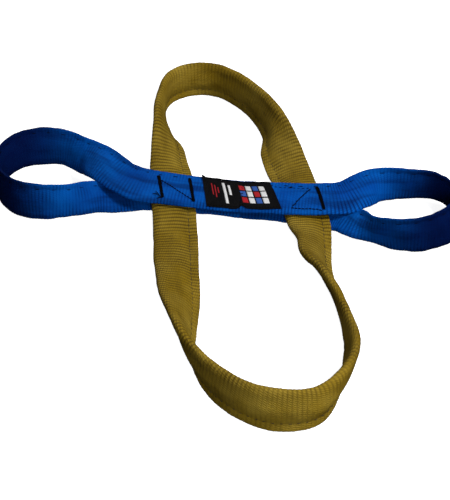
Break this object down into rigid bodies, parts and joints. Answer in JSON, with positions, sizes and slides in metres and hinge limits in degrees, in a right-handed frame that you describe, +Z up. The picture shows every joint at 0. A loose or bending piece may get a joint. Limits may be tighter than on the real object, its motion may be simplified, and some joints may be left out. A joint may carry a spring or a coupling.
{
  "type": "round sling",
  "caption": "Endless textile lifting sling passed through a flattened second one that is stitched across it and ends in two open lifting eyes.",
  "frame": {"origin": "under the middle of the outline, in the plane the sling lies on", "axes": "+Z up from the surface it lies on, +X along the stitched strap towards the right eye, +Y along the crossed sling towards its far bend"},
  "size_m": [0.4338, 0.447, 0.0397],
  "materials": {
    "olive_fabric": "matt woven polyester",
    "blue_fabric": "matt woven polyester",
    "yarn": "undyed polyester yarn",
    "olive_thread": "sewing thread",
    "dark_thread": "sewing thread",
    "label_fabric": "smooth woven label",
    "label_marks": "woven marks"
  },
  "bodies": {
    "sewn_centre": {"olive_jacket_left": "olive_fabric", "olive_core_left": "yarn", "olive_thread_left": "olive_thread", "olive_jacket_lap_far": "olive_fabric", "olive_jacket_lap_near": "olive_fabric", "olive_core_right": "yarn", "olive_lap_stitch": "olive_thread", "blue_jacket_top_left": "blue_fabric", "blue_jacket_top_right": "blue_fabric", "blue_core_top": "yarn", "blue_thread_top": "dark_thread", "blue_jacket_bottom": "blue_fabric", "blue_core_bottom": "yarn", "blue_thread_bottom": "dark_thread", "blue_lap_stitch": "dark_thread", "bar_tack_left_outer": "dark_thread", "bar_tack_left_inner": "dark_thread", "bar_tack_right": "dark_thread", "cross_stitch_left": "dark_thread", "cross_stitch_right": "dark_thread", "thread_tails": "dark_thread", "label": "label_fabric", "label_print": "label_marks", "label_stitch": "dark_thread"},
    "far_bight": {"olive_jacket_far": "olive_fabric", "olive_core_far": "yarn", "olive_thread_far": "olive_thread"},
    "near_bight": {"olive_jacket_near": "olive_fabric", "olive_core_near": "yarn", "olive_thread_near": "olive_thread"},
    "left_eye": {"blue_jacket_left_eye": "blue_fabric", "blue_core_left_eye": "yarn", "blue_thread_left_eye": "dark_thread"},
    "right_eye": {"blue_jacket_right_eye": "blue_fabric", "blue_core_right_eye": "yarn", "blue_thread_right_eye": "dark_thread"}
  },
  "joints": [
    {"name": "far_bight_lift", "type": "hinge", "parent": "sewn_centre", "child": "far_bight", "pos_m": [0.011, 0.066, 0.015], "axis": [1, 0, 0], "range_deg": [0, 60]},
    {"name": "near_bight_lift", "type": "hinge", "parent": "sewn_centre", "child": "near_bight", "pos_m": [0.021, 0.016, 0.015], "axis": [-1, 0, 0], "range_deg": [0, 60]},
    {"name": "left_eye_lift", "type": "hinge", "parent": "sewn_centre", "child": "left_eye", "pos_m": [-0.08, 0.041, 0.0225], "axis": [0, 1, 0], "range_deg": [0, 60]},
    {"name": "right_eye_lift", "type": "hinge", "parent": "sewn_centre", "child": "right_eye", "pos_m": [0.103, 0.041, 0.027], "axis": [0, -1, 0], "range_deg": [0, 60]}
  ]
}
